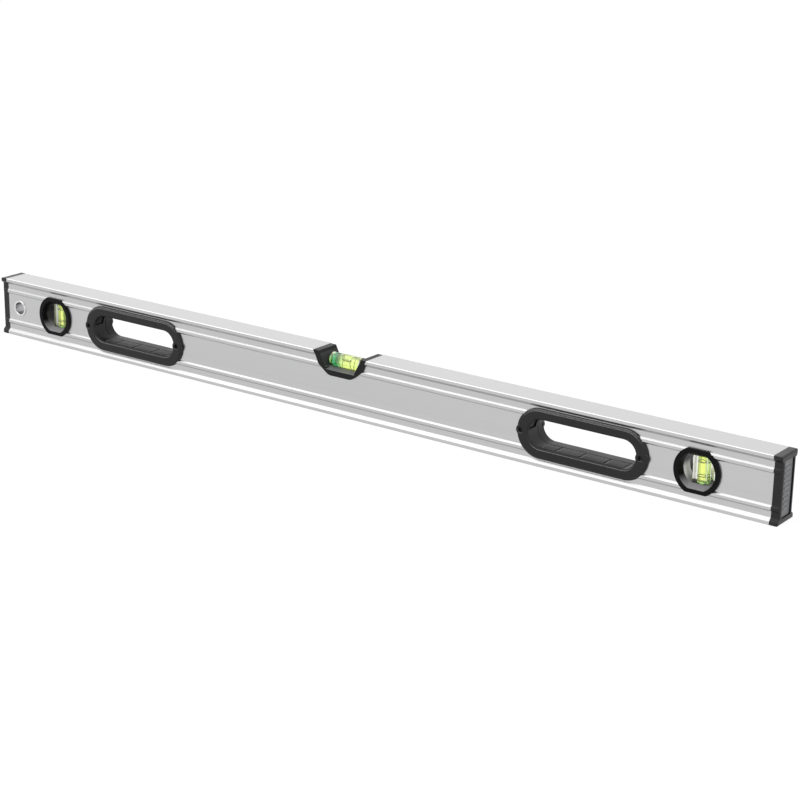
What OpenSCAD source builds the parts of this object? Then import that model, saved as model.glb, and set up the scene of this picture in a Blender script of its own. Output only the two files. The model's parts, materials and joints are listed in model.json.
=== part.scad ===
// Magnetic spirit level: a hollow beam with a top-read centre vial, two plumb vials,
// two moulded hand-holds, capped ends, a hanging eyelet and magnets in its base.
// The beam runs along X, its front faces -Y, and the origin is the middle of its base.

/* [Beam] */
// Length of the whole level, over both end caps
level_len = 900; // [860:10:1200]
// Height between the two measuring faces
level_h = 60; // [59:0.5:66]
// Width of the measuring faces
level_w = 28.2; // [27.6:0.2:34]
// Thickness of the side walls
wall = 1.8; // [1.4:0.1:2.2]
// Thickness of the two measuring flanges
flange_t = 3.4; // [2.8:0.1:4.2]
// Height of the side of a flange
flange_side = 3.1; // [2.6:0.1:3.6]
// Depth of the strip beside a flange, below the side of the flange
strip_d = 2.8; // [2.4:0.1:3.0]
// Depth of a bead's flat top
bead_d = 1.4; // [1.0:0.1:1.8]
// Depth of the middle panel
panel_d = 2.9; // [2.6:0.1:3.4]
// Distance of a bead from the middle of the side
bead_mid = 16.3; // [15.6:0.1:17]
// Height of a bead's flat top
bead_face = 2.4; // [2.0:0.1:3.0]
// Chamfer along the beam's long edges
edge_c = 0.4; // [0.2:0.1:0.6]

/* [End caps] */
// Thickness of an end cap outside the beam
cap_len = 8; // [7:0.5:12]
// Rounding of the cap's top and bottom outer edges
cap_round = 1.8; // [1.2:0.2:2.4]
// Rounding of the cap's upright outer edges, between its two brims
cap_corner = 3.2; // [2.4:0.2:4.0]
// Rounding of the upright edges of the two brims
brim_corner = 1.2; // [0.8:0.1:1.6]
// Length of the plug that goes into the beam
plug_len = 7; // [5:0.5:8]
// Wall of that plug
plug_wall = 1.6; // [1.2:0.1:2.2]
// Width of the frame round the cap's pad
cap_frame = 2.7; // [2.2:0.1:3.4]
// Distance of the pad's ends from the measuring faces
pad_end = 5.2; // [4.6:0.2:7]
// Depth of the pad's recess
pad_recess = 2.8; // [2.2:0.1:3.4]
// Thickness of the pad
pad_t = 1.3; // [1.0:0.1:1.8]
// Height of the ribs on the pad
pad_rib_h = 0.5; // [0.3:0.1:0.8]
// Width of a rib on the pad
pad_rib_w = 8.6; // [6:0.2:10]
// Spacing of the ribs on the pad
pad_rib_pitch = 4.4; // [3.6:0.2:6]

/* [Hand-holds] */
// Distance of a hand-hold from the end of the beam
grip_in = 179.8; // [170:0.2:240]
// Half the length of a hand-hold's rim
rim_half_l = 65.6; // [64:0.2:70]
// Half the height of a hand-hold's rim
rim_r = 23.1; // [22.4:0.1:23.4]
// Depth of the rim's crown below the side of the flange
rim_d = 0.3; // [0.2:0.1:0.6]
// Width of the step round the rim
rim_step = 1.5; // [1.0:0.1:2.0]
// Depth of that step below the crown
rim_step_d = 0.8; // [0.5:0.1:1.1]
// Width of the rim at the ends of the opening
rim_end = 11.6; // [10.6:0.2:16]
// Width of the rim above and below the opening
rim_side = 9.9; // [9.2:0.1:10.6]
// Chamfer of the opening's lip
lip_c = 1.2; // [0.8:0.1:1.5]
// Wall of the sleeve that lines the opening
sleeve_wall = 2.6; // [2.2:0.1:3.0]
// How far past the opening the beam's side is cut
hold_margin = 4; // [3.4:0.1:4.6]
// Share of the beam's width that the front shell lines
front_share = 0.6; // [0.55:0.01:0.7]
// Distance of the outer pocket from the rim's end
outer_pocket_in = 4.2; // [3.6:0.1:4.8]
// Distance of the inner pocket from the opening's end
inner_pocket_out = 4.4; // [3.8:0.1:4.8]
// Radius of a pocket
pocket_r = 2.5; // [2.0:0.1:2.8]
// Depth of a pocket
pocket_depth = 2.2; // [1.6:0.1:2.4]
// Wall of the boss round a pocket
pocket_wall = 2.4; // [1.8:0.1:2.6]
// Depth of the boss that stands into the opening
boss_depth = 3; // [2.4:0.1:4]
// Height of the clip's recess in the upper corner of the opening
clip_h = 8.5; // [6:0.5:10]
// Width of that recess, across the beam
clip_w = 11; // [6:0.5:12]
// Depth of that recess into the sleeve
clip_d = 1.4; // [1.0:0.1:1.8]
// Bevel inside the opening where the front and rear shells meet
seam_c = 0.5; // [0.3:0.1:0.7]
// Spacing of the grooves across the grip pad
groove_pitch = 24.6; // [22:0.1:26]
// Distance of the middle groove from the middle of the hand-hold
groove_off = 2.3; // [0:0.1:3]
// Width of a groove
groove_w = 2.2; // [1.2:0.1:3.0]
// Depth of a groove
groove_d = 0.7; // [0.4:0.1:0.9]
// Thickness of the grip pad
grip_t = 1.5; // [1.2:0.1:1.7]
// How far the grip pad stands above the sleeve
grip_proud = 0.3; // [0.1:0.1:0.5]

/* [Plumb vials] */
// Distance of a plumb vial from the end of the beam
plumb_in = 68.5; // [58:0.5:80]
// Radius of a plumb bezel
bezel_r = 21.6; // [20.6:0.1:22.4]
// Half the height between the bezel's flats
bezel_flat = 19.3; // [18.6:0.1:19.6]
// Depth of the bezel's face below the side of the flange
bezel_d = 0.8; // [0.4:0.1:1.3]
// Width of the bezel's face at its sides
bezel_side = 4.4; // [3.8:0.1:5.0]
// Height of the bezel's face above and below its mouth
bezel_top = 3.7; // [3.2:0.1:4.2]
// How far each side of the mouth comes in on its way to the window
mouth_in_side = 1.3; // [0.6:0.1:3.0]
// How far the top and the bottom of the mouth come in on their way to the window
mouth_in_top = 3.4; // [2.4:0.1:3.8]
// Depth at which the mouth has narrowed to the window
mouth_depth = 6.4; // [5.6:0.1:6.8]
// How far the bezel's rim covers the side of the beam
bezel_cover = 2.6; // [2.2:0.1:2.8]
// Side of the square plumb vial
block_w = 13.2; // [12:0.2:14]
// Wall between the vial's end and the beam
block_cover = 1.7; // [1.2:0.1:2.2]
// Radius of the plumb vial's bore
plumb_bore_r = 4.2; // [4.0:0.1:4.8]
// Thickness of the clear end above and below that bore
plumb_end = 2.2; // [1.8:0.1:2.6]
// Radius of a plumb bubble
plumb_bubble_r = 2.8; // [2.4:0.1:3.0]
// Length of a plumb bubble
plumb_bubble_len = 8; // [7:0.5:10]
// Distance of a plumb vial's ring from the middle of the vial
plumb_ring = 6.3; // [5.6:0.1:7]

/* [Centre vial] */
// Depth of the cradle below the top face
cradle_depth = 22; // [21:0.5:23]
// Half the width of the cradle at the top face
cradle_top = 31; // [30.2:0.2:34]
// Half the width of the cradle at its shoulder
cradle_shoulder = 25.4; // [25:0.2:28]
// Depth of that shoulder below the top face
shoulder_drop = 13; // [11.6:0.2:13.6]
// Half the width of the cradle's foot
cradle_foot = 13.2; // [12.8:0.2:16]
// Depth of the cradle's face below the side of the flange
cradle_d = 1; // [0.4:0.1:1.2]
// How far the cradle's top lies below the top face
cradle_sink = 0.3; // [0.2:0.1:0.6]
// How far the cradle's rim covers the side of the beam
cradle_cover = 1.5; // [1.2:0.1:2.0]
// Thickness of the cradle's end walls at the top face
hopper_wall = 6.2; // [5.2:0.2:7]
// Half the length of the hopper's floor
hopper_floor = 16.8; // [16:0.2:18]
// Fall of the floor's front and rear edges
floor_fall = 1.2; // [0.6:0.2:1.8]
// Depth of the centre vial's axis below the top face
vial_drop = 9.6; // [9.2:0.1:10.2]
// Radius of the centre vial
vial_r = 6.6; // [6.3:0.1:6.8]
// Half the length of the centre vial
vial_half_l = 17.2; // [16:0.2:18.2]
// Depth of the saddle that holds the centre vial
saddle = 0.5; // [0.3:0.1:0.9]
// Radius of the centre vial's bore
vial_bore_r = 4.9; // [4.4:0.1:5.1]
// Thickness of the clear ends of the centre vial
vial_end = 2; // [1.6:0.1:2.6]
// Radius of the centre bubble
bubble_r = 2.5; // [2.2:0.1:2.8]
// Length of the centre bubble
bubble_len = 12; // [10:0.5:13]
// Distance of the centre vial's rings from its middle
vial_ring = 6.6; // [6:0.1:7.2]
// Width of a marking ring
ring_w = 0.7; // [0.5:0.1:1.0]
// Thickness of a marking ring
ring_t = 0.4; // [0.3:0.1:0.5]

/* [Eyelet and magnets] */
// Distance of the hanging eyelet from the end of the beam
eyelet_in = 16; // [15.5:0.5:24]
// Radius of the eyelet's hole
eyelet_bore_r = 6.1; // [5:0.1:6.5]
// Radius of the eyelet's rolled rim
eyelet_rim_r = 8.6; // [8.2:0.1:9]
// Wall of the eyelet's tube
eyelet_wall = 0.8; // [0.6:0.1:1.0]
// Number of magnets in the base
magnet_count = 5; // [3:2:7]
// Distance of the outermost magnets from the ends of the beam
magnet_in = 62; // [30:1:90]
// Radius of a magnet
magnet_r = 7.5; // [6:0.1:8.5]
// Height of a magnet
magnet_h = 5; // [4:0.5:6]
// How far a magnet lies above the base
magnet_recess = 0.2; // [0.1:0.1:0.4]

/* [Fits] */
// Clearance between moulded pieces and what they seat on
fit = 0.1; // [0.05:0.01:0.15]
// Clearance of a liquid in its bore
liquid_fit = 0.05; // [0.03:0.01:0.08]
// Clearance round a bubble in its channel
bubble_fit = 0.2; // [0.15:0.01:0.3]

/* [Hidden] */
$fn = 72;
past = 1;
half_h = level_h / 2;
half_w = level_w / 2;
beam_len = level_len - 2 * cap_len;
panel_y = half_w - panel_d;
// A wall's inner corner at a slope of 45 degrees lies this far along from the outer one
miter = wall * tan(22.5);
bead_out = bead_mid + bead_face / 2;
bead_in = bead_mid - bead_face / 2;
eyelet_x = beam_len / 2 - eyelet_in;
plumb_x = beam_len / 2 - plumb_in;
grip_x = beam_len / 2 - grip_in;
magnet_pitch = (beam_len - 2 * magnet_in) / (magnet_count - 1);
hold_half_l = rim_half_l - rim_end;
hold_r = rim_r - rim_side;
outer_pocket_x = rim_half_l - outer_pocket_in;
inner_pocket_x = hold_half_l + inner_pocket_out;
rim_a = rim_half_l - rim_r;
hold_a = hold_half_l - hold_r;
split_y = -half_w + front_share * level_w;
sleeve_r = hold_r + sleeve_wall;
cut_r = hold_r + hold_margin;
socket_r = bezel_r - bezel_cover;
socket_flat = bezel_flat - bezel_cover;
mouth_r = bezel_r - bezel_side;
mouth_flat = bezel_flat - bezel_top;
window_r = mouth_r - mouth_in_side;
window_flat = mouth_flat - mouth_in_top;
block_len = 2 * (socket_flat - block_cover);
cradle_floor = half_h - vial_drop - vial_r + saddle;
vial_z = half_h - vial_drop;
bubble_rise = vial_bore_r - bubble_r - fit;

// Outline helpers: a mirrored list, an outline moved inwards by t, and one with eased corners
function flip_up(p) = [for (i = [len(p) - 1 : -1 : 0]) [p[i][0], -p[i][1]]];
function flip_over(p) = [for (i = [len(p) - 1 : -1 : 0]) [-p[i][0], p[i][1]]];
function unit(v) = v / norm(v);
function left_of(v) = [-v[1], v[0]];
function inset(p, t) = [for (i = [0 : len(p) - 1])
    let (
        before = p[(i + len(p) - 1) % len(p)],
        after = p[(i + 1) % len(p)],
        n1 = left_of(unit(p[i] - before)),
        n2 = left_of(unit(after - p[i])))
    p[i] + (n1 + n2) * t / (1 + n1 * n2)];
function eased(p, c, n = 3) = [for (i = [0 : len(p) - 1])
    let (
        a = p[i] + unit(p[(i + len(p) - 1) % len(p)] - p[i]) * c[i],
        b = p[i] + unit(p[(i + 1) % len(p)] - p[i]) * c[i])
    for (k = [0 : c[i] > 0 ? n : 0])
        let (s = k / n)
        a * (1 - s) * (1 - s) + p[i] * 2 * s * (1 - s) + b * s * s];

// The beam's section about its middle: Y and Z of one side from the base up, then the other
low_side = [
    [half_w - edge_c, -half_h],
    [half_w, -half_h + edge_c],
    [half_w, -half_h + flange_side],
    [half_w - strip_d, -half_h + flange_side + strip_d],
    [half_w - strip_d, -(bead_out + strip_d - bead_d)],
    [half_w - bead_d, -bead_out],
    [half_w - bead_d, -bead_in],
    [panel_y, -(bead_in + bead_d - panel_d)]];
one_side = concat(low_side, flip_up(low_side));
section = concat(one_side, flip_over(one_side));
low_cavity = [
    [half_w - strip_d - wall, -half_h + flange_t],
    [half_w - strip_d - wall, -(bead_out + strip_d - bead_d - miter)],
    [half_w - bead_d - wall, -(bead_out - miter)],
    [half_w - bead_d - wall, -(bead_in + miter)],
    [panel_y - wall, -(bead_in + bead_d - panel_d + miter)]];
one_cavity = concat(low_cavity, flip_up(low_cavity));
cavity = concat(one_cavity, flip_over(one_cavity));

// Everything is drawn about the beam's middle height and lifted here onto the base
module lift() {
    translate([0, 0, half_h]) children();
}

module along_x(x0, len) {
    translate([x0, 0, 0]) rotate([90, 0, 90]) linear_extrude(len) children();
}

module along_y(y0, y1) {
    translate([0, y1, 0]) rotate([90, 0, 0]) linear_extrude(y1 - y0) children();
}

module left_and_right(x) {
    for (s = [-1, 1]) translate([s * x, 0, 0]) children();
}

// A rounded bar across the beam: radii and Y places swept round a stadium of half straight a
module track(a, pts) {
    rotate([-90, 0, 0]) {
        for (s = [-1, 1])
            translate([s * a, 0, 0]) rotate([0, 0, -90 * s]) rotate_extrude(angle = 180) polygon(pts);
        along_x(-a, 2 * a) {
            polygon(pts);
            mirror([1, 0]) polygon(pts);
        }
    }
}

module plain_track(a, r, y0, y1) {
    track(a, [[0, y0], [r, y0], [r, y1], [0, y1]]);
}

// A circle with its top and bottom cut off flat
module flatted(r, flat) {
    intersection() {
        circle(r);
        square([3 * r, 2 * flat], center = true);
    }
}

// What the rims must leave free: the beam's side, solid apart from the hole given as a child
module side_but(half_l) {
    difference() {
        along_x(-half_l, 2 * half_l) polygon(inset(section, -fit));
        children();
    }
}

// Outline of the cradle's rim, moved in by t, with its top at z
function cradle_x(z) = cradle_shoulder
    + (cradle_top - cradle_shoulder) * (z - half_h + shoulder_drop) / shoulder_drop;
function cradle_line(t, z) = eased(inset([
    [-cradle_foot, half_h - cradle_depth],
    [cradle_foot, half_h - cradle_depth],
    [cradle_shoulder, half_h - shoulder_drop],
    [cradle_x(z + t), z + t],
    [-cradle_x(z + t), z + t],
    [-cradle_shoulder, half_h - shoulder_drop]], t), [3, 3, 2.4, 0, 0, 2.4]);

// Hole for the cradle, with a gap kept on its inner side: the rim covers the edges of the
// hole in the side walls, and fills the notch in the top flange
module cradle_hole(gap) {
    z0 = half_h - flange_side - strip_d;
    z1 = half_h + past;
    t = gap - fit;
    along_y(-half_w - past, half_w + past) {
        polygon(cradle_line(cradle_cover + gap, z1));
        polygon([[-cradle_x(z0) + t, z0], [cradle_x(z0) - t, z0],
            [cradle_x(z1) - t, z1], [-cradle_x(z1) + t, z1]]);
    }
}

module beam() {
    color("silver") lift() difference() {
        along_x(-beam_len / 2, beam_len) polygon(section);
        along_x(-beam_len / 2 - past, beam_len + 2 * past) polygon(cavity);
        left_and_right(grip_x) plain_track(hold_a, cut_r, -half_w - past, half_w + past);
        left_and_right(plumb_x) along_y(-half_w - past, half_w + past) flatted(socket_r, socket_flat);
        cradle_hole(0);
        translate([-eyelet_x, 0, 0]) along_y(-half_w - past, half_w + past)
            circle(eyelet_bore_r + eyelet_wall + fit);
        magnet_places() cylinder(h = flange_t + 2 * past, r = magnet_r + fit);
    }
}

// Each magnet's place, at one millimetre below the base
module magnet_places() {
    for (i = [0 : magnet_count - 1])
        translate([(i - (magnet_count - 1) / 2) * magnet_pitch, 0, -half_h - past]) children();
}

module magnets() {
    color("dimgray") lift() magnet_places() translate([0, 0, past + magnet_recess])
        cylinder(h = magnet_h, r = magnet_r);
}

// A plate from x = 0 to len whose two outer corners are rounded
module rounded_end(len, half, r) {
    translate([-past, -half]) square([len + past - r, 2 * half]);
    translate([-past, r - half]) square([len + past, 2 * (half - r)]);
    for (s = [-1, 1]) translate([len - r, s * (half - r)]) circle(r);
}

// Seen from above, the two brims keep the beam's full width and the middle is narrower
module cap_plan() {
    brim = flange_side + strip_d;
    translate([0, 0, -half_h]) linear_extrude(level_h) rounded_end(cap_len, half_w - bead_d, cap_corner);
    for (z = [-half_h - past, half_h - brim])
        translate([0, 0, z]) linear_extrude(brim + past) rounded_end(cap_len, half_w, brim_corner);
}

// End cap of the right end, with its inner face at x = 0
module cap() {
    difference() {
        union() {
            intersection() {
                along_x(0, cap_len) polygon(section);
                along_y(-level_w, level_w) rounded_end(cap_len, half_h, cap_round);
                cap_plan();
            }
            difference() {
                along_x(-plug_len, plug_len + past) polygon(inset(cavity, fit));
                along_x(-plug_len - past, plug_len + past)
                    square([2 * (panel_y - wall - plug_wall), 2 * (half_h - flange_t - plug_wall)], center = true);
            }
        }
        translate([cap_len - pad_recess, 0, 0]) pad_plate(fit, pad_recess + past);
    }
}

module pad_plate(grow, t) {
    corner = 1.5;
    w = panel_y - cap_frame;
    h = half_h - pad_end;
    along_x(0, t) polygon(eased([[-w - grow, -h - grow], [w + grow, -h - grow],
        [w + grow, h + grow], [-w - grow, h + grow]], [corner, corner, corner, corner]));
}

// Pad of the right cap, with its back at x = 0 and plain ribs across its face
module cap_pad() {
    rows = floor((half_h - pad_end - pad_rib_pitch) / pad_rib_pitch);
    rib_h = pad_rib_pitch * 0.45;
    pad_plate(0, pad_t);
    for (i = [-rows : rows])
        translate([pad_t - pad_rib_h, -pad_rib_w / 2, i * pad_rib_pitch - rib_h / 2])
            cube([2 * pad_rib_h, pad_rib_w, rib_h]);
}

module right_end_cap() {
    color("#2b2b2d") lift() translate([beam_len / 2, 0, 0]) cap();
}

module left_end_cap() {
    color("#2b2b2d") lift() rotate([0, 0, 180]) translate([beam_len / 2, 0, 0]) cap();
}

module right_cap_pad() {
    color("#6e7072") lift() translate([level_len / 2 - pad_recess, 0, 0]) cap_pad();
}

module left_cap_pad() {
    color("#6e7072") lift() rotate([0, 0, 180])
        translate([level_len / 2 - pad_recess, 0, 0]) cap_pad();
}

// One moulded half of a hand-hold, at the front, whose sleeve ends at the plane y_end
module grip_shell(y_end) {
    crown = -half_w + rim_d;
    foot = -panel_y + wall;
    round_r = 0.6;
    step_y = crown + rim_step_d;
    clip_y = lip_c + 1.5;
    difference() {
        union() {
            difference() {
                union() {
                    track(rim_a, [
                        [0, crown],
                        [rim_r - rim_step - round_r, crown],
                        [rim_r - rim_step, crown + round_r],
                        [rim_r - rim_step, step_y],
                        [rim_r - round_r, step_y],
                        [rim_r, step_y + round_r],
                        [rim_r, foot],
                        [0, foot]]);
                    left_and_right(outer_pocket_x) along_y(crown + round_r, foot)
                        circle(pocket_r + pocket_wall);
                }
                side_but(rim_half_l + rim_r) plain_track(hold_a, cut_r - fit, -level_w, level_w);
            }
            plain_track(hold_a, sleeve_r, -panel_y, y_end);
        }
        difference() {
            track(hold_a, [
                [0, crown - past],
                [hold_r + lip_c + past, crown - past],
                [hold_r, crown + lip_c],
                [hold_r, y_end - seam_c],
                [hold_r + seam_c + past, y_end + past],
                [0, y_end + past]]);
            translate([inner_pocket_x, 0, 0]) along_y(crown, crown + boss_depth)
                circle(pocket_r + pocket_wall);
        }
        translate([-outer_pocket_x, 0, 0]) along_y(crown - past, crown + pocket_depth) circle(pocket_r);
        translate([inner_pocket_x, 0, 0]) along_y(crown - past, crown + pocket_depth) circle(pocket_r);
        intersection() {
            plain_track(hold_a, hold_r + clip_d, crown + clip_y, crown + clip_y + clip_w);
            translate([-2 * hold_half_l, -level_w, 1]) cube([2 * hold_half_l - hold_a, 2 * level_w, clip_h]);
        }
    }
}

// Seat of the grip pad in the floor of a front shell, or the pad's own block
module pad_seat(grow) {
    inset_y = lip_c + 1.2;
    y0 = -half_w + rim_d + inset_y;
    translate([-hold_a - grow, y0 - grow, -hold_r - grip_t - grow])
        cube([2 * (hold_a + grow), split_y - y0 - 1 + 2 * grow, grip_t + grip_proud + grow]);
}

module front_grip() {
    difference() {
        grip_shell(split_y);
        pad_seat(fit);
    }
}

module rear_grip() {
    rotate([0, 0, 180]) grip_shell(-split_y - fit);
}

// Rubber pad in the floor of the hand-hold, with grooves across it
module grip_pad() {
    difference() {
        pad_seat(0);
        for (i = [-1 : 1])
            translate([i * groove_pitch - groove_off - groove_w / 2, -half_w, -hold_r + grip_proud - groove_d])
                cube([groove_w, level_w, groove_d + past]);
    }
}

module left_front_grip() {
    color("#333335") lift() translate([-grip_x, 0, 0]) front_grip();
}

module right_front_grip() {
    color("#333335") lift() translate([grip_x, 0, 0]) front_grip();
}

module left_rear_grip() {
    color("#333335") lift() translate([-grip_x, 0, 0]) rear_grip();
}

module right_rear_grip() {
    color("#333335") lift() translate([grip_x, 0, 0]) rear_grip();
}

module left_grip_pad() {
    color("#5a5a5c") lift() translate([-grip_x, 0, 0]) grip_pad();
}

module right_grip_pad() {
    color("#5a5a5c") lift() translate([grip_x, 0, 0]) grip_pad();
}

// Front half of a plumb vial's housing: a rim on the beam, a mouth that narrows to the
// window, and half of the pocket that holds the square vial at its top and bottom
module plumb_bezel() {
    face = -half_w + bezel_d;
    throat = -half_w + mouth_depth;
    depth = mouth_depth - bezel_d;
    steep_r = (mouth_r - window_r) / depth;
    steep_flat = (mouth_flat - window_flat) / depth;
    difference() {
        union() {
            difference() {
                along_y(face, -panel_y + wall) flatted(bezel_r, bezel_flat);
                side_but(2 * bezel_r) along_y(-level_w, level_w)
                    flatted(socket_r - fit, socket_flat - fit);
            }
            along_y(-panel_y, -fit / 2) flatted(socket_r - fit, socket_flat - fit);
        }
        along_y(face, past) flatted(window_r, window_flat);
        intersection() {
            translate([0, throat, 0]) rotate([90, 0, 0])
                cylinder(h = depth + past, r1 = window_r, r2 = mouth_r + steep_r * past);
            along_x(-mouth_r - past, 2 * (mouth_r + past)) polygon([
                [throat, -window_flat],
                [throat, window_flat],
                [face - past, mouth_flat + steep_flat * past],
                [face - past, -mouth_flat - steep_flat * past]]);
        }
        cube([block_w + 2 * fit, block_w + 2 * fit, block_len + 2 * fit], center = true);
    }
}

module left_front_bezel() {
    color("#1f1f21") lift() translate([-plumb_x, 0, 0]) plumb_bezel();
}

module right_front_bezel() {
    color("#1f1f21") lift() translate([plumb_x, 0, 0]) plumb_bezel();
}

module left_rear_bezel() {
    color("#1f1f21") lift() translate([-plumb_x, 0, 0]) rotate([0, 0, 180]) plumb_bezel();
}

module right_rear_bezel() {
    color("#1f1f21") lift() translate([plumb_x, 0, 0]) rotate([0, 0, 180]) plumb_bezel();
}

// A vial's parts stand upright about the middle of the vial. The bore is closed at its
// lower end by a plug, and the rings lie in grooves in the wall of the bore.
module bore_space(r, half_len, end) {
    translate([0, 0, -half_len - past]) cylinder(h = 2 * half_len + past - end, r = r);
}

module rings(r, place, grow) {
    for (s = [-1, 1])
        translate([0, 0, s * place - ring_w / 2 - grow]) difference() {
            cylinder(h = ring_w + 2 * grow, r = r + ring_t + grow);
            translate([0, 0, -past]) cylinder(h = ring_w + 2 * past + 2 * grow, r = r);
        }
}

module plug(r, half_len, end) {
    translate([0, 0, -half_len]) cylinder(h = end, r = r - liquid_fit);
}

// Liquid in the bore, less the straight channel that its bubble runs in
module liquid(r, half_len, end, channel_r, rise) {
    low = -half_len + end;
    difference() {
        translate([0, 0, low + liquid_fit])
            cylinder(h = 2 * (half_len - end - liquid_fit), r = r - liquid_fit);
        translate([-rise, 0, low + 2 * fit]) cylinder(h = 2 * (half_len - end - 2 * fit), r = channel_r);
    }
}

// A bubble with round ends, about its own middle
module bubble(r, len) {
    straight = len / 2 - r;
    translate([0, 0, -straight]) cylinder(h = 2 * straight, r = r);
    for (s = [-1, 1]) translate([0, 0, s * straight]) sphere(r);
}

module plumb_vial() {
    difference() {
        cube([block_w, block_w, block_len], center = true);
        bore_space(plumb_bore_r, block_len / 2, plumb_end);
        rings(plumb_bore_r, plumb_ring, liquid_fit);
    }
}

module plumb_liquid() {
    liquid(plumb_bore_r, block_len / 2, plumb_end, plumb_bubble_r + bubble_fit, 0);
}

// The bubble rests at the top of the upright bore
module plumb_bubble() {
    top = block_len / 2 - plumb_end - 2 * fit;
    translate([0, 0, top - fit - plumb_bubble_len / 2]) bubble(plumb_bubble_r, plumb_bubble_len);
}

module left_vial() {
    color([0.9, 0.95, 0.9, 0.5]) lift() translate([-plumb_x, 0, 0]) plumb_vial();
}

module right_vial() {
    color([0.9, 0.95, 0.9, 0.5]) lift() translate([plumb_x, 0, 0]) plumb_vial();
}

module left_vial_plug() {
    color("white") lift() translate([-plumb_x, 0, 0]) plug(plumb_bore_r, block_len / 2, plumb_end);
}

module right_vial_plug() {
    color("white") lift() translate([plumb_x, 0, 0]) plug(plumb_bore_r, block_len / 2, plumb_end);
}

module left_vial_rings() {
    color("black") lift() translate([-plumb_x, 0, 0]) rings(plumb_bore_r, plumb_ring, 0);
}

module right_vial_rings() {
    color("black") lift() translate([plumb_x, 0, 0]) rings(plumb_bore_r, plumb_ring, 0);
}

module left_liquid() {
    color("yellowgreen") lift() translate([-plumb_x, 0, 0]) plumb_liquid();
}

module right_liquid() {
    color("yellowgreen") lift() translate([plumb_x, 0, 0]) plumb_liquid();
}

module left_bubble() {
    color("honeydew") lift() translate([-plumb_x, 0, 0]) plumb_bubble();
}

module right_bubble() {
    color("honeydew") lift() translate([plumb_x, 0, 0]) plumb_bubble();
}

// The centre vial's parts lie along X, their upright axis turned over to the right
module lying() {
    translate([0, 0, vial_z]) rotate([0, 90, 0]) children();
}

// One-piece cradle: a rim on each side of the beam, a body that grips the beam's side walls
// from inside, and a hopper whose ends slope down to the vial in its saddle
module centre_cradle() {
    top = half_h - cradle_sink;
    mouth_x = cradle_top - hopper_wall;
    side_y = half_w - cradle_d;
    seat_l = vial_half_l + fit;
    color("#1f1f21") lift() difference() {
        along_y(-side_y, side_y) polygon(cradle_line(0, top));
        difference() {
            along_x(-2 * cradle_top, 4 * cradle_top) polygon(inset(section, -fit));
            along_x(-2 * cradle_top - past, 4 * cradle_top + 2 * past) polygon(inset(cavity, fit));
            cradle_hole(fit);
        }
        along_y(-level_w, level_w) polygon(eased([
            [-hopper_floor, cradle_floor],
            [hopper_floor, cradle_floor],
            [mouth_x, half_h],
            [mouth_x, half_h + past],
            [-mouth_x, half_h + past],
            [-mouth_x, half_h]], [1.5, 1.5, 0, 0, 0, 0]));
        for (side = [0, 180]) rotate([0, 0, side]) along_x(-hopper_floor, 2 * hopper_floor) polygon([
            [side_y + past, cradle_floor - floor_fall],
            [side_y + past, cradle_floor + past],
            [side_y / 2, cradle_floor + past],
            [side_y / 2, cradle_floor]]);
        lying() translate([0, 0, -seat_l]) cylinder(h = 2 * seat_l, r = vial_r + liquid_fit);
    }
}

module centre_vial() {
    color([0.9, 0.95, 0.9, 0.5]) lift() lying() difference() {
        translate([0, 0, -vial_half_l]) cylinder(h = 2 * vial_half_l, r = vial_r);
        bore_space(vial_bore_r, vial_half_l, vial_end);
        rings(vial_bore_r, vial_ring, liquid_fit);
    }
}

module centre_vial_plug() {
    color("white") lift() lying() plug(vial_bore_r, vial_half_l, vial_end);
}

module centre_vial_rings() {
    color("black") lift() lying() rings(vial_bore_r, vial_ring, 0);
}

module centre_liquid() {
    color("yellowgreen") lift() lying()
        liquid(vial_bore_r, vial_half_l, vial_end, bubble_r + bubble_fit, bubble_rise);
}

module centre_bubble() {
    color("honeydew") lift() lying() translate([-bubble_rise, 0, 0]) bubble(bubble_r, bubble_len);
}

// Tube through the beam with a rolled rim on each side
module hanging_eyelet() {
    tube_r = eyelet_bore_r + eyelet_wall;
    roll = (eyelet_rim_r - eyelet_bore_r) / 2;
    seat = panel_y + fit / 2;
    steps = 6;
    arc = [for (i = [0 : steps])
        [eyelet_bore_r + roll - roll * cos(180 * i / steps), seat + roll * sin(180 * i / steps) * 0.8]];
    half = concat([[eyelet_bore_r, 0]], arc, [[eyelet_rim_r, seat], [tube_r, seat], [tube_r, 0]]);
    color("gainsboro") lift() translate([-eyelet_x, 0, 0]) for (s = [-90, 90])
        rotate([s, 0, 0]) rotate_extrude() polygon(half);
}

beam();
left_end_cap();
right_end_cap();
left_cap_pad();
right_cap_pad();
left_front_grip();
left_rear_grip();
right_front_grip();
right_rear_grip();
left_grip_pad();
right_grip_pad();
left_front_bezel();
left_rear_bezel();
right_front_bezel();
right_rear_bezel();
left_vial();
right_vial();
left_vial_plug();
right_vial_plug();
left_vial_rings();
right_vial_rings();
left_liquid();
right_liquid();
left_bubble();
right_bubble();
centre_cradle();
centre_vial();
centre_vial_plug();
centre_vial_rings();
centre_liquid();
centre_bubble();
hanging_eyelet();
magnets();
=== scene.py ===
"""Dresses the spirit level: camera, finishes, the fills of the three vials and the studio."""
import bpy
import bmesh
import json
import math
from mathutils import Matrix, Vector


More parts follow.
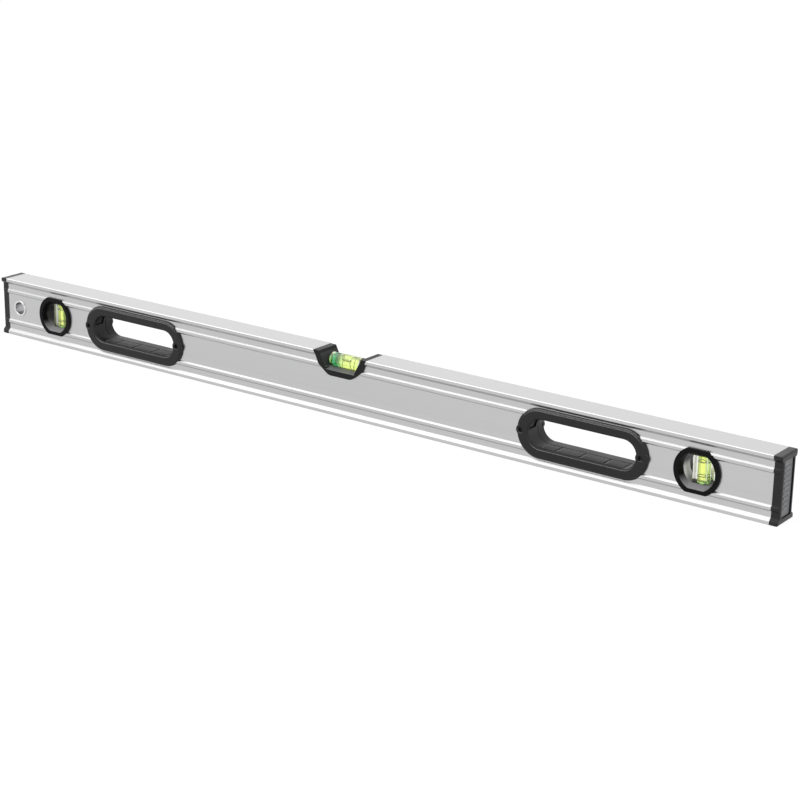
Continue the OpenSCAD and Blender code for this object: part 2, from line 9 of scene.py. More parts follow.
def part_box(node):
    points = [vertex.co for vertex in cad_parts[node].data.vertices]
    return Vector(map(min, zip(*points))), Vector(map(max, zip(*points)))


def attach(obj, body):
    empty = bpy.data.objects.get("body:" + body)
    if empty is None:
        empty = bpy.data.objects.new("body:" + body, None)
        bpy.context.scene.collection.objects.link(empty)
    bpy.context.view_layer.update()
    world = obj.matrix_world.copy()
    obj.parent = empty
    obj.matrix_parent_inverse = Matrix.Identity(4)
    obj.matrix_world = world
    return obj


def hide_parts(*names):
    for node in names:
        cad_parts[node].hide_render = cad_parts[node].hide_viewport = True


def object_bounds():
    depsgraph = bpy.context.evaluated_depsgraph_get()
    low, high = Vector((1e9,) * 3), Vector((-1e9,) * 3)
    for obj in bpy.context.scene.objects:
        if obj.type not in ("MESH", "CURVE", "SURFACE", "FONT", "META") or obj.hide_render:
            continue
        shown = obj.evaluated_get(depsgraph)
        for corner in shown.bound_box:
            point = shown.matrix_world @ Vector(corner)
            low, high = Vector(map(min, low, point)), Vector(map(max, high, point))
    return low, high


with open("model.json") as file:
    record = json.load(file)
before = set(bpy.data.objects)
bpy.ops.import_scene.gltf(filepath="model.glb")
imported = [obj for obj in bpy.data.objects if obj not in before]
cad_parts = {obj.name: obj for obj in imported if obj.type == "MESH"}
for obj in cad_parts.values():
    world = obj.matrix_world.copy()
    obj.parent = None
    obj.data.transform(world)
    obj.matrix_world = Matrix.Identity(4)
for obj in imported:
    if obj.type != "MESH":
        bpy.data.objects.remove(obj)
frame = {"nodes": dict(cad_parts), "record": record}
cad_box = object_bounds()
nodes = frame["nodes"]
scene = bpy.context.scene
MM = 0.001


# Camera at the photograph's viewing angle

IMAGE_W = 800
MIDDLE_PX = (399.2, 392.8)
FOCAL_PX = 2010.93
SENSOR_MM = 36.0
CAM_AZIMUTH = math.radians(36.037)
CAM_ELEVATION = math.radians(17.763)
CAM_ROLL = math.radians(0.910)
CAM_DISTANCE = 1888.89 * MM
CAM_ASIDE = 48.24 * MM
CAM_UP = 19.04 * MM
CLIP_NEAR, CLIP_FAR = 0.05, 50


def photo_camera():
    """A camera that looks past the level's origin by its two offsets, rolled a little."""
    back = Vector((
        math.sin(CAM_AZIMUTH) * math.cos(CAM_ELEVATION),
        -math.cos(CAM_AZIMUTH) * math.cos(CAM_ELEVATION),
        math.sin(CAM_ELEVATION),
    ))
    level_right = Vector((0, 0, 1)).cross(back).normalized()
    level_up = back.cross(level_right)
    right = math.cos(CAM_ROLL) * level_right + math.sin(CAM_ROLL) * level_up
    up = math.cos(CAM_ROLL) * level_up - math.sin(CAM_ROLL) * level_right
    place = back * CAM_DISTANCE + right * CAM_ASIDE + up * CAM_UP
    data = bpy.data.cameras.new("photo_camera")
    data.sensor_width = SENSOR_MM
    data.lens = SENSOR_MM * FOCAL_PX / IMAGE_W
    data.shift_x = (IMAGE_W / 2 - MIDDLE_PX[0]) / IMAGE_W
    data.shift_y = (MIDDLE_PX[1] - IMAGE_W / 2) / IMAGE_W
    data.clip_start = CLIP_NEAR
    data.clip_end = CLIP_FAR
    camera = bpy.data.objects.new("photo_camera", data)
    turn = Matrix((right, up, back)).transposed().to_4x4()
    camera.matrix_world = Matrix.Translation(place) @ turn
    scene.collection.objects.link(camera)
    scene.camera = camera


photo_camera()
scene.view_settings.view_transform = "Standard"


# Small helpers for node trees

FLOAT, COLOR, VECTOR = "NodeSocketFloat", "NodeSocketColor", "NodeSocketVector"


def feed(tree, value, into):
    """Wires an output into an input, or sets the input to a plain value."""
    if isinstance(value, bpy.types.NodeSocket):
        tree.links.new(value, into)
    else:
        into.default_value = value


def add(tree, kind, **values):
    """A new node. Each value is one of its options, or feeds its input of that name."""
    node = tree.nodes.new(kind)
    for name, value in values.items():
        if hasattr(node, name):
            setattr(node, name, value)
        else:
            feed(tree, value, node.inputs[name.replace("_", " ")])
    return node


def maths(tree, operation, *values, kind="ShaderNodeMath"):
    """The outputs of a Math or Vector Math node that works on outputs or plain values."""
    node = add(tree, kind, operation=operation)
    for value, into in zip(values, node.inputs):
        feed(tree, value, into)
    return node.outputs


def result(tree, operation, *values):
    """The one number that a Math node works out."""
    return maths(tree, operation, *values)["Value"]


def scaled_color(tree, color, share):
    scale = add(tree, "ShaderNodeVectorMath", operation="SCALE", Vector=color, Scale=share)
    return scale.outputs["Vector"]


def object_place(tree):
    return add(tree, "ShaderNodeTexCoord").outputs["Object"]


def surface_of(tree):
    return add(tree, "ShaderNodeNewGeometry").outputs


def axes_of(tree, vector):
    return add(tree, "ShaderNodeSeparateXYZ", Vector=vector).outputs


def noise(tree, vector, **settings):
    return add(tree, "ShaderNodeTexNoise", Vector=vector, **settings).outputs["Fac"]


def fade(tree, value, start, end):
    """Rises softly from 0 at the start to 1 at the end."""
    ramp = add(
        tree, "ShaderNodeMapRange", interpolation_type="SMOOTHSTEP",
        Value=value, From_Min=start, From_Max=end)
    return ramp.outputs["Result"]


def mixed(tree, share, first, second, kind="RGBA"):
    mix = add(tree, "ShaderNodeMix", data_type=kind, Factor=share, A=first, B=second)
    return mix.outputs["Result"]


def new_group(name, inputs, outputs):
    """A shader group of (name, kind, default) inputs and (name, kind) outputs.
    Gives the group, what it is given and what it has to make."""
    group = bpy.data.node_groups.new(name, "ShaderNodeTree")
    for label, kind, value in inputs:
        socket = group.interface.new_socket(label, in_out="INPUT", socket_type=kind)
        socket.default_value = value
    for label, kind in outputs:
        group.interface.new_socket(label, in_out="OUTPUT", socket_type=kind)
    given = group.nodes.new("NodeGroupInput").outputs
    made = group.nodes.new("NodeGroupOutput").inputs
    return group, given, made


def use_group(tree, group, settings):
    """Places a shared group in a tree with its own settings, and gives its outputs."""
    effect = tree.nodes.new("ShaderNodeGroup")
    effect.node_tree = group
    for label, value in settings.items():
        feed(tree, value, effect.inputs[label])
    return effect.outputs


def new_material(name):
    """A material, its node tree and its shader."""
    material = bpy.data.materials.new(name)
    material.use_nodes = True
    tree = material.node_tree
    return material, tree, tree.nodes["Principled BSDF"]


# Effects that several finishes share

EDGE_SAMPLES = 6
LOOKS_DOWN, LOOKS_ASIDE = -0.5, 0.0
SKIN_OUTPUTS = [("Color", COLOR), ("Roughness", FLOAT), ("Height", FLOAT)]
MASK_OUTPUT = [("Mask", FLOAT)]


def make_skin(group, given, made, change, color_share, roughness_share, height):
    """Varies a skin's colour and roughness by a change about zero, and passes its height on."""
    bright = result(group, "MULTIPLY_ADD", change, color_share, 1.0)
    rough = result(group, "MULTIPLY_ADD", change, roughness_share, given["Roughness"])
    feed(group, scaled_color(group, given["Color"], bright), made["Color"])
    feed(group, rough, made["Roughness"])
    feed(group, height, made["Height"])


def drawn_lines_group():
    """Faint lines that run along X, as a die leaves them on an extrusion."""
    group, given, made = new_group(
        "drawn_lines",
        [("Color", COLOR, (0.6, 0.6, 0.6, 1)), ("Streak", FLOAT, 0.05),
         ("Roughness", FLOAT, 0.35)],
        SKIN_OUTPUTS)
    lines = add(
        group, "ShaderNodeMapping", Vector=object_place(group), Scale=(3.0, 1400.0, 1400.0))
    stretched = lines.outputs["Vector"]
    fine = noise(group, stretched, Scale=1.0, Detail=4.0, Roughness=0.65)
    wide = noise(group, stretched, Scale=0.16, Detail=2.0, Roughness=0.5)
    both = result(group, "ADD", fine, wide)
    change = result(group, "SUBTRACT", both, 1.0)
    make_skin(group, given, made, change, given["Streak"], roughness_share=0.12, height=both)
    return group


def moulded_skin_group():
    """Fine spark-eroded grain with a slow change of tone and sheen."""
    group, given, made = new_group(
        "moulded_skin",
        [("Color", COLOR, (0.03, 0.03, 0.03, 1)), ("Grain Size", FLOAT, 0.4),
         ("Mottle", FLOAT, 0.12), ("Roughness", FLOAT, 0.5)],
        SKIN_OUTPUTS)
    place = object_place(group)
    grains_per_metre = result(group, "DIVIDE", 1 / MM, given["Grain Size"])
    grain = noise(group, place, Scale=grains_per_metre, Detail=2.0, Roughness=0.6)
    slow = noise(group, place, Scale=45.0, Detail=3.0, Roughness=0.55)
    change = result(group, "SUBTRACT", slow, 0.5)
    make_skin(group, given, made, change, given["Mottle"], roughness_share=0.25, height=grain)
    return group


def painted_lit_faces_group():
    """A mask of the faces that look up and lie below a height, where painted light makes them
    paler.
    """
    group, given, made = new_group(
        "painted_lit_faces",
        [("From", FLOAT, 0.3), ("To", FLOAT, 0.9), ("Below", FLOAT, 1.0)],
        MASK_OUTPUT)
    surface = surface_of(group)
    upward = fade(group, axes_of(group, surface["Normal"])["Z"], given["From"], given["To"])
    low = result(
        group, "LESS_THAN", axes_of(group, surface["Position"])["Z"], given["Below"])
    feed(group, result(group, "MULTIPLY", upward, low), made["Mask"])
    return group


def painted_light_and_shade_group():
    """A mask of the faces and rounded edges that lean one way, on the front and the rear alike,
    where painted highlights and painted shade are laid.
    """
    group, given, made = new_group(
        "painted_light_and_shade",
        [("Direction", VECTOR, (0, -0.7, 0.7)), ("From", FLOAT, 0.75), ("To", FLOAT, 0.92),
         ("Width", FLOAT, 0.3 * MM), ("Above", FLOAT, -1.0)],
        MASK_OUTPUT)
    rounded = add(group, "ShaderNodeBevel", samples=EDGE_SAMPLES, Radius=given["Width"])
    lean = axes_of(group, rounded.outputs["Normal"])
    frontward = result(group, "MULTIPLY", result(group, "ABSOLUTE", lean["Y"]), -1.0)
    folded = add(group, "ShaderNodeCombineXYZ", X=lean["X"], Y=frontward, Z=lean["Z"])
    along = maths(
        group, "DOT_PRODUCT", folded.outputs["Vector"], given["Direction"],
        kind="ShaderNodeVectorMath")
    caught = fade(group, along["Value"], given["From"], given["To"])
    high = result(
        group, "GREATER_THAN", axes_of(group, object_place(group))["Z"], given["Above"])
    feed(group, result(group, "MULTIPLY", caught, high), made["Mask"])
    return group


def painted_wall_light_group():
    """A mask for painted light on the walls between the two mouths, which fades into painted shade
    at their top.
    """
    group, given, made = new_group(
        "painted_wall_light",
        [("Depth", FLOAT, 7.8 * MM), ("Bottom", FLOAT, 27 * MM), ("Top", FLOAT, 38 * MM)],
        MASK_OUTPUT)
    spot = axes_of(group, object_place(group))
    inside = result(group, "LESS_THAN", result(group, "ABSOLUTE", spot["Y"]), given["Depth"])
    lit = fade(
        group, axes_of(group, surface_of(group)["Normal"])["Z"], LOOKS_DOWN, LOOKS_ASIDE)
    low = fade(group, spot["Z"], given["Top"], given["Bottom"])
    both = result(group, "MULTIPLY", lit, low)
    feed(group, result(group, "MULTIPLY", inside, both), made["Mask"])
    return group


def left_part_group():
    """A mask of what lies left of an X, on the faces whose normal's Y is below a value."""
    group, given, made = new_group(
        "left_part", [("Left Of", FLOAT, 0.0), ("Facing", FLOAT, 2.0)], MASK_OUTPUT)
    left = result(group, "LESS_THAN", axes_of(group, object_place(group))["X"], given["Left Of"])
    facing = result(
        group, "LESS_THAN", axes_of(group, surface_of(group)["Normal"])["Y"], given["Facing"])
    feed(group, result(group, "MULTIPLY", left, facing), made["Mask"])
    return group


def flow_marks_group():
    """Soft marks of flow in a clear moulding or a liquid, with a height for their ripple."""
    group, given, made = new_group(
        "flow_marks",
        [("Color", COLOR, (1, 1, 1, 1)), ("Marked Color", COLOR, (1, 1, 1, 1)),
         ("Scale", FLOAT, 120.0), ("Detail", FLOAT, 1.0)],
        [("Color", COLOR), ("Height", FLOAT)])
    flow = noise(group, object_place(group), Scale=given["Scale"], Detail=given["Detail"])
    feed(group, mixed(group, flow, given["Color"], given["Marked Color"]), made["Color"])
    feed(group, flow, made["Height"])
    return group


def liquid_ends_group():
    """A mask that rises along either of two directions from the middle of a vial's liquid."""
    group, given, made = new_group(
        "liquid_ends",
        [("One End", VECTOR, (0, 0, 1)), ("Other End", VECTOR, (0, 0, -1)),
         ("From", FLOAT, 9.5 * MM), ("To", FLOAT, 12.5 * MM)],
        MASK_OUTPUT)
    place = object_place(group)
    reaches = [
        maths(group, "DOT_PRODUCT", place, given[end], kind="ShaderNodeVectorMath")["Value"]
        for end in ("One End", "Other End")]
    along = result(group, "MAXIMUM", *reaches)
    feed(group, fade(group, along, given["From"], given["To"]), made["Mask"])
    return group


DRAWN_LINES = drawn_lines_group()
MOULDED_SKIN = moulded_skin_group()
PAINTED_LIT_FACES = painted_lit_faces_group()
PAINTED_LIGHT_AND_SHADE = painted_light_and_shade_group()
PAINTED_WALL_LIGHT = painted_wall_light_group()
LEFT_PART = left_part_group()
FLOW_MARKS = flow_marks_group()
LIQUID_ENDS = liquid_ends_group()


# Ways to make a finish

EVEN_GREY, COOL_GREY = 1.0, 1.04    # a grey's share of blue
PLAIN_SPECULAR = 0.5
# painted light for the grip pad: its paler rear and its paler groove edges
RUBBER_REAR_PAINTED_LIGHT = (0.115, 0.115, 0.118, 1)
GROOVE_PAINTED_HIGHLIGHT = (0.5, 0.5, 0.5 * COOL_GREY, 1)
ACRYLIC_IOR, LIQUID_IOR = 1.49, 1.36
# painted shade: the deeper green on an upright vial's right side
LIQUID_SIDE_PAINTED_SHADE = (0.45, 0.66, 0.30, 1)
LIQUID_SIDE_FROM, LIQUID_SIDE_TO = 0.75, 0.9


def lay_over(tree, mask, value, into):
    """Lays a number or a colour over what a shader's input has, where a mask is."""
    under = into.links[0].from_socket if into.links else into.default_value
    kind = "FLOAT" if isinstance(value, float) else "RGBA"
    feed(tree, mixed(tree, mask, under, value, kind), into)


def skin_finish(name, skin, settings, grain_mm, grain_share, round_mm,
                metallic=0.0, specular=PLAIN_SPECULAR, tones=()):
    """A finish whose colour, roughness and bump come from a shared skin, on softened edges.
    Each tone is (group, settings, grey) and perhaps its share of blue, laid where its mask is."""
    material, tree, shader = new_material(name)
    effect = use_group(tree, skin, settings)
    feed(tree, effect["Color"], shader.inputs["Base Color"])
    feed(tree, effect["Roughness"], shader.inputs["Roughness"])
    soft_edge = add(tree, "ShaderNodeBevel", samples=EDGE_SAMPLES, Radius=round_mm * MM)
    bump = add(
        tree, "ShaderNodeBump", Strength=grain_share, Distance=grain_mm * MM,
        Height=effect["Height"], Normal=soft_edge.outputs["Normal"])
    feed(tree, bump.outputs["Normal"], shader.inputs["Normal"])
    shader.inputs["Metallic"].default_value = metallic
    shader.inputs["Specular IOR Level"].default_value = specular
    for group, mask_settings, grey, *blue_share in tones:
        mask = use_group(tree, group, mask_settings)["Mask"]
        blue = grey * (blue_share[0] if blue_share else COOL_GREY)
        lay_over(tree, mask, (grey, grey, blue, 1), shader.inputs["Base Color"])
    return material


def satin_aluminium():
    """Satin extrusion with painted highlights in paler grey on the bead slopes and the upper
    edges.
    """
    # painted highlights on the bead slopes and the top edges that face up and out
    up_and_out = (0.0, -0.707, 0.707)
    bead_highlights = {"Direction": up_and_out, "From": 0.94, "To": 0.99, "Width": 0.5 * MM}
    top_edge_highlights = {
        "Direction": up_and_out, "From": 0.75, "To": 0.95, "Width": 0.8 * MM,
        "Above": cad_box[1].z - 1.5 * MM}
    return skin_finish(
        "satin_aluminium", DRAWN_LINES,
        {"Color": (0.535, 0.535, 0.54, 1), "Streak": 0.10, "Roughness": 0.34},
        grain_mm=0.01, grain_share=0.15, round_mm=0.7, metallic=1.0,
        tones=[(PAINTED_LIGHT_AND_SHADE, bead_highlights, 0.60, EVEN_GREY),
               (PAINTED_LIGHT_AND_SHADE, top_edge_highlights, 0.85, EVEN_GREY)])


def moulding(name, color, roughness, specular, grain_size=0.35, tones=()):
    """Moulded plastic or rubber."""
    return skin_finish(
        name, MOULDED_SKIN,
        {"Color": (*color, 1), "Roughness": roughness, "Grain Size": grain_size,
         "Mottle": 0.15},
        grain_mm=0.05, grain_share=0.35, round_mm=0.4, specular=specular, tones=tones)


def bright_metal(name, color, roughness, tones=()):
    """Rolled or plated metal."""
    return skin_finish(
        name, MOULDED_SKIN,
        {"Color": (*color, 1), "Roughness": roughness, "Grain Size": 0.6, "Mottle": 0.08},
        grain_mm=0.01, grain_share=0.1, round_mm=0.2, metallic=1.0, tones=tones)


def bezel_black(name, wall_painted_light, wall_depth_mm):
    """A window's black moulding, with painted light in paler tones on its walls and its lower
    sills.
    """
    mid_height = (cad_box[0].z + cad_box[1].z) / 2
    return moulding(
        name, (0.004, 0.004, 0.0045), roughness=0.38, specular=0.08,
        tones=[(PAINTED_WALL_LIGHT, {"Depth": wall_depth_mm * MM}, wall_painted_light),
               (PAINTED_LIT_FACES, {"Below": mid_height}, 0.30)])


def grip_rubber():
    """Dull rubber with painted shade, darker at its front under the lip and paler towards its rear
    edge, and painted highlights on its groove edges.
    """
    material = moulding(
        "grip_floor_rubber", (0.035, 0.035, 0.036), roughness=0.6, specular=0.3,
        grain_size=0.5)
    tree = material.node_tree
    skin = tree.nodes["Principled BSDF"].inputs["Base Color"]
    # painted shade: darker towards the front under the lip, paler towards the rear
    low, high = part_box("right_grip_pad")
    rearward = fade(tree, axes_of(tree, object_place(tree))["Y"], low.y, high.y)
    lay_over(tree, rearward, RUBBER_REAR_PAINTED_LIGHT, skin)
    # painted highlight on the groove edges that face up and to the left
    groove_highlight_edges = {
        "Direction": (-0.6, 0.0, 0.8), "From": 0.84, "To": 0.93, "Width": 0.9 * MM}
    mask = use_group(tree, PAINTED_LIGHT_AND_SHADE, groove_highlight_edges)["Mask"]
    lay_over(tree, mask, GROOVE_PAINTED_HIGHLIGHT, skin)
    return material


def dyed_liquid(name, blue, end_from_mm, end_to_mm, end_painted_shade, lying=False):
    """Yellow-green liquid with a painted glow in its own colour and a painted shade that deepens
    it where it ends:
    a lying vial's at its left end, an upright one's at both ends and on its right side."""
    material, tree, shader = new_material(name)
    flow = use_group(tree, FLOW_MARKS, {
        "Color": (0.90, 0.93, blue, 1), "Marked Color": (0.85, 0.91, blue * 0.8, 1),
        "Scale": 90.0, "Detail": 2.0})
    ends = ((-1, 0, 0), (-1, 0, 0)) if lying else ((0, 0, 1), (0, 0, -1))
    endward = use_group(tree, LIQUID_ENDS, {
        "One End": ends[0], "Other End": ends[1],
        "From": end_from_mm * MM, "To": end_to_mm * MM})
    # painted shade: a deeper green towards the liquid's ends
    color = mixed(tree, endward["Mask"], flow["Color"], (*end_painted_shade, 1))
    if not lying:
        # painted shade: an upright vial's right side is a deeper green
        outward = axes_of(tree, surface_of(tree)["Normal"])["X"]
        sideward = fade(tree, outward, LIQUID_SIDE_FROM, LIQUID_SIDE_TO)
        color = mixed(tree, sideward, color, LIQUID_SIDE_PAINTED_SHADE)
    feed(tree, color, shader.inputs["Base Color"])
    # painted glow: the liquid gives off a little light in its own colour, though it is no lamp
    feed(tree, color, shader.inputs["Emission Color"])
    shader.inputs["Emission Strength"].default_value = 0.12
    shader.inputs["Transmission Weight"].default_value = 0.92
    shader.inputs["Roughness"].default_value = 0.03
    shader.inputs["IOR"].default_value = LIQUID_IOR
    return material


def clear_moulding(name, color, ior=ACRYLIC_IOR, roughness=0.01, ripple_mm=0.01, parts=()):
    """Clear or tinted see-through pieces, with a faint flow ripple.
    Each part is (left of X, facing, what differs there), which goes by the shader's inputs."""
    material, tree, shader = new_material(name)
    flow = use_group(tree, FLOW_MARKS, {
        "Color": (*color, 1), "Marked Color": (*[c * 0.97 for c in color], 1)})
    bump = add(
        tree, "ShaderNodeBump", Strength=0.1, Distance=ripple_mm * MM, Height=flow["Height"])
    feed(tree, bump.outputs["Normal"], shader.inputs["Normal"])
    feed(tree, flow["Color"], shader.inputs["Base Color"])
    shader.inputs["Transmission Weight"].default_value = 1.0
    shader.inputs["IOR"].default_value = ior
    shader.inputs["Roughness"].default_value = roughness
    for left_of, facing, differences in parts:
        mask = use_group(tree, LEFT_PART, {"Left Of": left_of, "Facing": facing})["Mask"]
        for label, value in differences.items():
            lay_over(tree, mask, value, shader.inputs[label])
    return material


def bubble_skin(name, ior):
    """The thin edge of a bubble, smoother than a moulding."""
    return clear_moulding(name, (0.95, 1.0, 0.85), ior=ior, roughness=0.0, ripple_mm=0.005)


# The finish of each material slot

CLEAR = (0.97, 1.0, 0.97)
# painted highlight along the grips' inner lip and the edges of their rims
RIM_PAINTED_HIGHLIGHT = {
    "Direction": (0.0, -0.924, 0.383), "From": 0.945, "To": 0.975, "Width": 0.6 * MM}
# painted shade on the eyelet: darker metal on the faces that look right and down, and on those
# that look left and up
EYELET_PAINTED_SHADE_LOWER_RIGHT = {"Direction": (0.75, -0.3, -0.6), "From": 0.8, "To": 0.95}
EYELET_PAINTED_SHADE_UPPER_LEFT = {"Direction": (-0.8, -0.3, 0.5), "From": 0.84, "To": 0.96}
FINISHES = {
    "beam_aluminium": satin_aluminium(),
    "cap_plastic": moulding(
        "cap_black", (0.006, 0.006, 0.0065), roughness=0.38, specular=0.34),
    "pad_plastic": moulding(
        "pad_grey", (0.155, 0.157, 0.161), roughness=0.5, specular=0.4),
    # the grip rims carry a painted highlight in paler grey
    "grip_plastic": moulding(
        "grip_charcoal", (0.011, 0.011, 0.012), roughness=0.38, specular=0.26,
        tones=[(PAINTED_LIGHT_AND_SHADE, RIM_PAINTED_HIGHLIGHT, 0.32)]),
    "grip_rubber": grip_rubber(),
    # painted light: the right windows' walls are painted pale grey
    "bezel_plastic": bezel_black("bezel_black", wall_painted_light=0.85, wall_depth_mm=5.7),
    "vial_clear": clear_moulding("clear_acrylic", CLEAR),
    "vial_liquid": dyed_liquid(
        "dyed_liquid", blue=0.26, end_from_mm=9.5, end_to_mm=12.5,
        end_painted_shade=(0.30, 0.55, 0.16)),
    "vial_bubble": bubble_skin("bubble_skin", ior=1.14),
    "ring_black": moulding(
        "ring_black", (0.14, 0.15, 0.04), roughness=0.5, specular=0.2),
    # the eyelet carries painted shade in two darker tones
    "eyelet_metal": bright_metal(
        "eyelet_bright", (0.66, 0.66, 0.67), roughness=0.2,
        tones=[(PAINTED_LIGHT_AND_SHADE, EYELET_PAINTED_SHADE_LOWER_RIGHT, 0.34), (PAINTED_LIGHT_AND_SHADE, EYELET_PAINTED_SHADE_UPPER_LEFT, 0.42)]),
    "magnet_metal": bright_metal("magnet_plated", (0.42, 0.42, 0.43), roughness=0.25),
}


# Pieces whose finish differs from their slot's

ALL_FACES, FRONT_FACES = 2.0, -0.5    # what their normal's Y stays below
SEAT_SKIN = 0.05 * MM
CENTRE_END = 2.6 * MM


def block_clear(node, seat_roughness, painted_shade_margins):
    """A plumb vial's block, dull on the left side that seats, with painted shade along the left
    margin of its front, where the seat shades it. Each margin is (width in mm, colour), and the
    next lies over it."""
    left_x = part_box(node)[0].x
    parts = [(left_x + SEAT_SKIN, ALL_FACES, {"Roughness": seat_roughness})]
    for width_mm, color in painted_shade_margins:
        parts.append((left_x + width_mm * MM, FRONT_FACES, {"Base Color": (*color, 1)}))
    return clear_moulding("clear_acrylic_" + node, CLEAR, parts=parts)


# painted shade: the left windows' walls get a much darker painted tone, a shaded copy of the same
# moulding
LEFT_BEZEL_PAINTED_SHADE = bezel_black("bezel_black_left_painted_shade", wall_painted_light=0.06, wall_depth_mm=7.8)
CENTRE_LOW, CENTRE_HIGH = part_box("centre_vial")
# painted shade: the left end of the centre vial is painted a deeper green
CENTRE_CLEAR = clear_moulding(
    "clear_acrylic_centre", (0.93, 1.0, 0.82), roughness=0.12,
    parts=[(CENTRE_LOW.x + CENTRE_END, ALL_FACES, {"Base Color": (0.72, 0.92, 0.58, 1)})])
NODE_FINISHES = {
    "left_front_bezel": LEFT_BEZEL_PAINTED_SHADE,
    "left_rear_bezel": LEFT_BEZEL_PAINTED_SHADE,
    # painted light: the cradle's upward faces below the vial's top are paler grey
    "centre_cradle": moulding(
        "cradle_black", (0.007, 0.007, 0.0075), roughness=0.4, specular=0.18,
        tones=[(PAINTED_LIT_FACES, {"Below": CENTRE_HIGH.z}, 0.16)]),
    # painted shade of the seat: a dark olive margin on the left block, a grey strip on the right
    # block
    "left_vial": block_clear(
        "left_vial", seat_roughness=0.76, painted_shade_margins=[(2.4, (0.10, 0.096, 0.042))]),
    "right_vial": block_clear(
        "right_vial", seat_roughness=0.21, painted_shade_margins=[(2.5, (0.42, 0.40, 0.36)), (0.7, CLEAR)]),
    "centre_vial": CENTRE_CLEAR,
    "centre_vial_plug": CENTRE_CLEAR,
    # painted light: the centre vial's rings are a paler copy of the ring moulding, lifting the
    # shade inside the vial
    "centre_vial_rings": moulding(
        "ring_painted_light", (0.34, 0.36, 0.10), roughness=0.5, specular=0.2),
    "centre_liquid": dyed_liquid(
        "dyed_liquid_centre", blue=0.45, end_from_mm=6.5, end_to_mm=11.0,
        end_painted_shade=(0.07, 0.42, 0.22), lying=True),
    "centre_bubble": bubble_skin("bubble_skin_centre", ior=1.09),
}


def finish_of(node, slot):
    """The node's own finish where it has one, or else its slot's."""
    return NODE_FINISHES.get(node, FINISHES[slot])


def dress_nodes():
    """Gives every CAD node its finish."""
    for part in frame["record"]["subparts"]:
        node = nodes[part["node"]]
        finish = finish_of(part["node"], part["material_slot"])
        for place in node.material_slots:
            place.material = finish
        if not node.material_slots:
            node.data.materials.append(finish)


dress_nodes()


# Liquids and bubbles: each fills its bore without the CAD's sliding clearances

BORE_CLEARANCE = 0.05 * MM
OVERLAP = 0.03 * MM
LIQUID_CORNER = 0.8 * MM
BUBBLE_CORNER_SHARE = 0.98
LIQUID_CORNER_STEPS, BUBBLE_CORNER_STEPS = 8, 14
ROUND_STEPS = 64


def turned(name, profile, along, middle, inward=False):
    """A solid of revolution: (distance along, radius) pairs about the X or the Z axis."""
    mesh = bpy.data.meshes.new(name)
    shape = bmesh.new()
    rows = []
    for step, radius in profile:
        row = []
        for i in range(ROUND_STEPS if radius > 0 else 1):
            angle = 2 * math.pi * i / ROUND_STEPS
            a, b = radius * math.cos(angle), radius * math.sin(angle)
            row.append(shape.verts.new((step, a, b) if along == "X" else (a, b, step)))
        rows.append(row)
    for low, high in zip(rows, rows[1:]):
        for i in range(ROUND_STEPS):
            j = (i + 1) % ROUND_STEPS
            corners = [
                low[i % len(low)], low[j % len(low)], high[j % len(high)], high[i % len(high)]]
            shape.faces.new(list(dict.fromkeys(corners)))
    bmesh.ops.recalc_face_normals(shape, faces=shape.faces)
    if inward:
        bmesh.ops.reverse_faces(shape, faces=shape.faces)
    for face in shape.faces:
        face.smooth = True
    shape.to_mesh(mesh)
    shape.free()
    piece = bpy.data.objects.new(name, mesh)
    piece.location = middle
    scene.collection.objects.link(piece)
    return piece


def rounded_rod(half_len, radius, corner, steps):
    """Profile of a rod whose two ends are rounded over."""
    far_end = [(half_len, 0.0)]
    for i in range(steps + 1):
        angle = math.pi / 2 * i / steps
        far_end.append((
            half_len - corner + corner * math.cos(angle),
            radius - corner + corner * math.sin(angle)))
    return [(-x, r) for x, r in far_end] + [(x, r) for x, r in reversed(far_end)]


def rod_size(node, along):
    """Half the length, the radius and the middle of a node that is a round rod."""
    low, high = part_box(node)
    axis = 0 if along == "X" else 2
    middle = (Vector(low) + Vector(high)) / 2
    return (high[axis] - low[axis]) / 2, (high.y - low.y) / 2, middle


def fill_vial(side, along, body):
    """The liquid of one vial and its bubble, whose faces look inward: light leaves the
    liquid there."""
    half_len, radius, middle = rod_size(side + "_liquid", along)
    radius += BORE_CLEARANCE + OVERLAP
    profile = rounded_rod(half_len, radius, LIQUID_CORNER, LIQUID_CORNER_STEPS)
    liquid = turned(side + "_liquid_fill", profile, along, middle)
    half_len, radius, middle = rod_size(side + "_bubble", along)
    profile = rounded_rod(
        half_len, radius, radius * BUBBLE_CORNER_SHARE, BUBBLE_CORNER_STEPS)
    bubble = turned(side + "_bubble_skin", profile, along, middle, inward=True)
    for piece, slot, node, rides_on in (
            (liquid, "vial_liquid", side + "_liquid", "level"),
            (bubble, "vial_bubble", side + "_bubble", body)):
        piece.data.materials.append(finish_of(node, slot))
        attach(piece, rides_on)
        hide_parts(node)


fill_vial("centre", "X", "centre_bubble_body")
fill_vial("left", "Z", "left_bubble_body")
fill_vial("right", "Z", "right_bubble_body")


# Studio: a pale floor, a white room and three soft lamps

FLOOR_SIZE = 12.0
FLOOR_GAP = 0.05 * MM
FLOOR_COLOR = (0.85, 0.85, 0.85, 1)
FLOOR_SHADE = (0.14, 0.14, 0.14, 1)
FLOOR_GLOW = 0.9
WHITE = (1, 1, 1, 1)
ROOM_LIGHT, ROOM_SEEN = 0.75, 1.0


def white_to_sight(tree, plain, white, into):
    """Mixes in white where a camera, glossy or transmission ray looks."""
    look = add(tree, "ShaderNodeLightPath").outputs
    direct = result(tree, "MAXIMUM", look["Is Camera Ray"], look["Is Glossy Ray"])
    seen = result(tree, "MAXIMUM", direct, look["Is Transmission Ray"])
    mix = add(tree, "ShaderNodeMixShader", Fac=seen)
    feed(tree, plain, mix.inputs[1])
    feed(tree, white, mix.inputs[2])
    feed(tree, mix.outputs["Shader"], into)


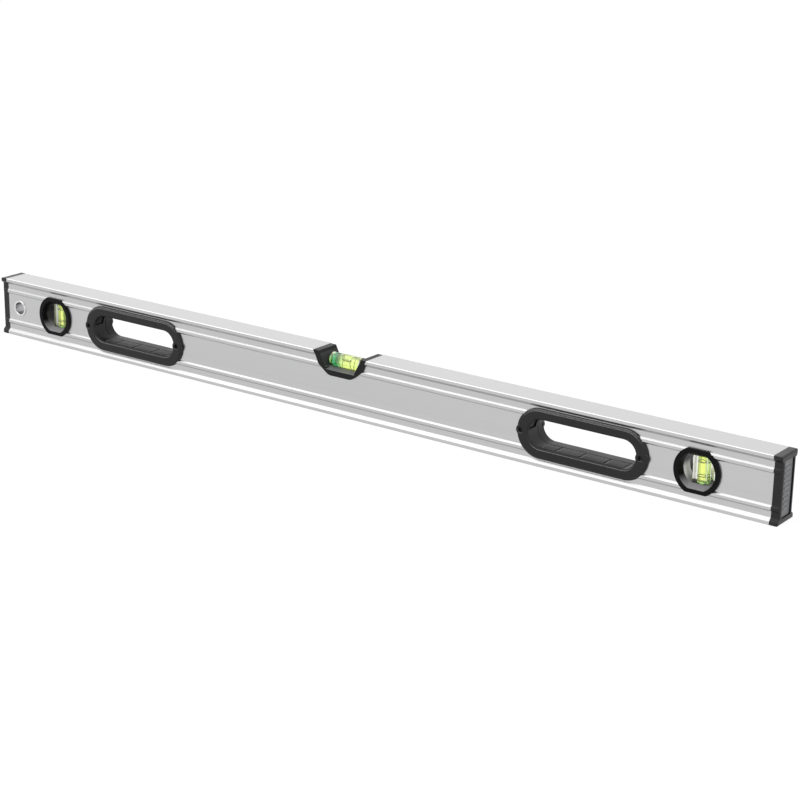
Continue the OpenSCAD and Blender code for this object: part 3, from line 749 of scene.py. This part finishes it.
def studio_floor():
    """A wide pale floor just under the level, which looks white and keeps its shadow."""
    half = FLOOR_SIZE / 2
    corners = [(-half, -half, 0), (half, -half, 0), (half, half, 0), (-half, half, 0)]
    mesh = bpy.data.meshes.new("studio_floor")
    mesh.from_pydata(corners, [], [(0, 1, 2, 3)])
    floor = bpy.data.objects.new("studio_floor", mesh)
    floor.location.z = cad_box[0].z - FLOOR_GAP
    scene.collection.objects.link(floor)
    material, tree, shader = new_material("floor_white")
    shader.inputs["Base Color"].default_value = FLOOR_COLOR
    shader.inputs["Roughness"].default_value = 0.9
    shader.inputs["Specular IOR Level"].default_value = 0.0
    glow = add(tree, "ShaderNodeEmission", Strength=FLOOR_GLOW)
    lit = add(tree, "ShaderNodeBsdfDiffuse", Color=FLOOR_SHADE)
    white = add(tree, "ShaderNodeAddShader")
    feed(tree, glow.outputs[0], white.inputs[0])
    feed(tree, lit.outputs[0], white.inputs[1])
    surface = tree.nodes["Material Output"].inputs["Surface"]
    white_to_sight(tree, shader.outputs[0], white.outputs[0], surface)
    mesh.materials.append(material)


def studio_room():
    """An even room that looks white and lights a little less than it looks."""
    world = bpy.data.worlds.new("studio_room")
    scene.world = world
    world.use_nodes = True
    tree = world.node_tree
    plain = tree.nodes["Background"]
    plain.inputs["Color"].default_value = WHITE
    plain.inputs["Strength"].default_value = ROOM_LIGHT
    white = add(tree, "ShaderNodeBackground", Color=WHITE, Strength=ROOM_SEEN)
    surface = tree.nodes["World Output"].inputs["Surface"]
    white_to_sight(tree, plain.outputs[0], white.outputs[0], surface)


def softbox(name, place, target, size, power):
    """A rectangular lamp of a size in metres and a power in watts, turned to its target."""
    data = bpy.data.lights.new(name, "AREA")
    data.shape = "RECTANGLE"
    data.size, data.size_y = size
    data.energy = power
    lamp = bpy.data.objects.new(name, data)
    lamp.location = place
    lamp.rotation_mode = "QUATERNION"
    lamp.rotation_quaternion = (Vector(target) - Vector(place)).to_track_quat("-Z", "Y")
    scene.collection.objects.link(lamp)


studio_floor()
studio_room()
softbox("top_softbox", (-1.0, -0.6, 1.6), target=(-0.3, -0.1, 0), size=(3.4, 1.4), power=18)
softbox("back_softbox", (-1.2, 1.6, 0.9), target=(0, 0, 0.05), size=(2.4, 1.0), power=2.3)
softbox("right_softbox", (2.2, -0.6, 0.9), target=(0.2, 0, 0), size=(1.4, 1.2), power=12)
